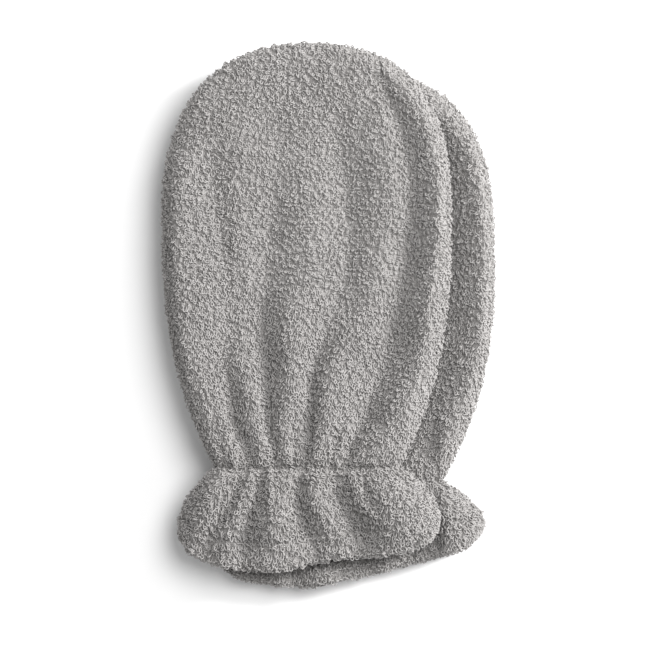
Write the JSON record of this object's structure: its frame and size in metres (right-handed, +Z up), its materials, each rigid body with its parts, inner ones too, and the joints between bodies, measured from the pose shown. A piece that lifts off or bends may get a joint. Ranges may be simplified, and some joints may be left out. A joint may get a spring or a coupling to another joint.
{
  "type": "wash mitt",
  "caption": "Pair of looped terry wash mitts lying one on the other, each a bullet-shaped hand pocket gathered by a wrist elastic above a flared ruffle cuff with a turned-up hem.",
  "frame": {"origin": "middle of the pair's footprint, on the surface it lies on", "axes": "+Y towards the fingertips, +Z up from the surface, +X to the right seen from above"},
  "size_m": [0.1662, 0.2702, 0.0331],
  "materials": {
    "terry": "matte looped terry, warm grey",
    "elastic": "matte woven elastic tape",
    "thread": "matte spun polyester thread"
  },
  "bodies": {
    "lower_mitt": {"lower_back_panel": "terry", "lower_palm_panel": "terry", "lower_wrist_elastic": "elastic", "lower_wrist_stitching": "thread", "lower_seam_thread": "thread", "lower_hem_stitching": "thread"},
    "upper_mitt": {"upper_back_panel": "terry", "upper_palm_panel": "terry", "upper_wrist_elastic": "elastic", "upper_wrist_stitching": "thread", "upper_seam_thread": "thread"},
    "upper_cuff": {"upper_cuff_back": "terry", "upper_cuff_palm": "terry", "upper_cuff_seam_thread": "thread", "upper_hem_stitching": "thread"}
  },
  "joints": [
    {"name": "mitt_lift", "type": "slide", "parent": "lower_mitt", "child": "upper_mitt", "axis": [0, 0, 1], "range_m": [0, 0.1]},
    {"name": "cuff_turn", "type": "hinge", "parent": "upper_mitt", "child": "upper_cuff", "pos_m": [-0.01063, -0.07907, 0.0301], "axis": [-1, 0, 0], "range_deg": [0, 70]}
  ]
}
